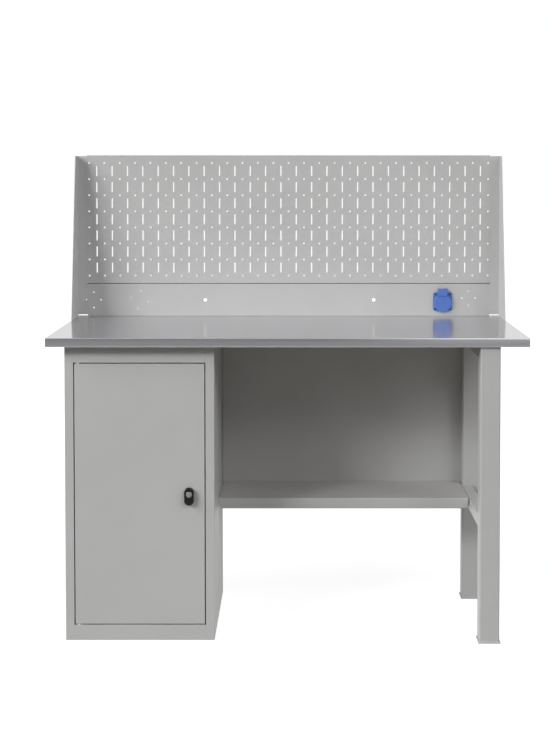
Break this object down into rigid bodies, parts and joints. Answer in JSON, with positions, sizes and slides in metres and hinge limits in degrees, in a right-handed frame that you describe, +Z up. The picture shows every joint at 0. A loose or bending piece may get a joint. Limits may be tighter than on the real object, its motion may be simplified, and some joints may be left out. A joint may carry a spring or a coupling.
{
  "type": "workbench with cabinet door",
  "caption": "Steel workbench with a pedestal cabinet and hinged lockable door, a leg frame, a lower shelf, a steel-covered worktop and a perforated backboard with a lidded socket.",
  "frame": {"origin": "on the floor, under the middle of the worktop", "axes": "+X to the right seen from the front, +Y to the back, +Z up"},
  "size_m": [1.379, 0.686, 1.406],
  "materials": {
    "grey_powder_coat": "light grey satin powder coat on folded sheet steel",
    "brushed_worktop": "satin steel sheet brushed along the bench",
    "board": "pressed wood board, bare at its ends",
    "zinc_steel": "bright zinc-plated steel",
    "lock_silver": "satin chromed key cylinder",
    "black_plastic": "moulded black plastic, fine grain",
    "blue_plastic": "moulded blue plastic, half gloss",
    "dark_screw": "blackened steel screw heads"
  },
  "bodies": {
    "bench": {"worktop_board": "board", "worktop_cover": "brushed_worktop", "cabinet_left_side": "grey_powder_coat", "cabinet_right_side": "grey_powder_coat", "cabinet_back": "grey_powder_coat", "cabinet_top": "grey_powder_coat", "cabinet_header": "grey_powder_coat", "cabinet_plinth": "grey_powder_coat", "cabinet_floor": "grey_powder_coat", "cabinet_shelf": "grey_powder_coat", "shelf_clip_left_front": "zinc_steel", "shelf_clip_left_rear": "zinc_steel", "shelf_clip_right_front": "zinc_steel", "shelf_clip_right_rear": "zinc_steel", "cabinet_foot_left_front": "black_plastic", "cabinet_foot_left_rear": "black_plastic", "cabinet_foot_right_front": "black_plastic", "cabinet_foot_right_rear": "black_plastic", "upper_hinge_pin": "zinc_steel", "lower_hinge_pin": "zinc_steel", "front_leg": "grey_powder_coat", "front_foot_plate": "grey_powder_coat", "rear_leg": "grey_powder_coat", "rear_foot_plate": "grey_powder_coat", "upper_side_rail": "grey_powder_coat", "lower_side_rail": "grey_powder_coat", "lower_shelf": "grey_powder_coat", "left_shelf_bracket": "grey_powder_coat", "right_shelf_bracket": "grey_powder_coat", "back_panel": "grey_powder_coat", "left_bracket": "grey_powder_coat", "right_bracket": "grey_powder_coat", "perforated_panel": "grey_powder_coat", "socket_panel": "grey_powder_coat", "left_bracket_bolt": "zinc_steel", "right_bracket_bolt": "zinc_steel", "panel_bolt_left_lower": "zinc_steel", "panel_bolt_left_middle": "zinc_steel", "panel_bolt_left_upper": "zinc_steel", "panel_bolt_right_lower": "zinc_steel", "panel_bolt_right_middle": "zinc_steel", "panel_bolt_right_upper": "zinc_steel", "socket_housing": "blue_plastic", "socket_insert": "blue_plastic", "lid_pin": "zinc_steel", "socket_screw_1": "dark_screw", "socket_screw_2": "dark_screw", "socket_screw_3": "dark_screw", "socket_screw_4": "dark_screw"},
    "door": {"door_panel": "grey_powder_coat", "door_stiffener": "grey_powder_coat", "lock_bush": "zinc_steel", "lock_nut": "zinc_steel"},
    "lock_handle": {"lock_handle": "black_plastic", "lock_cam": "zinc_steel"},
    "lock_cylinder": {"lock_cylinder": "lock_silver"},
    "socket_lid": {"socket_lid": "blue_plastic"}
  },
  "joints": [
    {"name": "door_hinge", "type": "hinge", "parent": "bench", "child": "door", "pos_m": [-0.6025, -0.299, 0.4265], "axis": [0, 0, -1], "range_deg": [0, 110]},
    {"name": "handle_turn", "type": "hinge", "parent": "door", "child": "lock_handle", "pos_m": [-0.2835, -0.305, 0.4275], "axis": [0, -1, 0], "range_deg": [0, 90]},
    {"name": "key_turn", "type": "hinge", "parent": "lock_handle", "child": "lock_cylinder", "pos_m": [-0.2835, -0.305, 0.4275], "axis": [0, -1, 0], "range_deg": [0, 90]},
    {"name": "lid_hinge", "type": "hinge", "parent": "bench", "child": "socket_lid", "pos_m": [0.503, 0.3015, 0.967], "axis": [-1, 0, 0], "range_deg": [0, 95]}
  ]
}
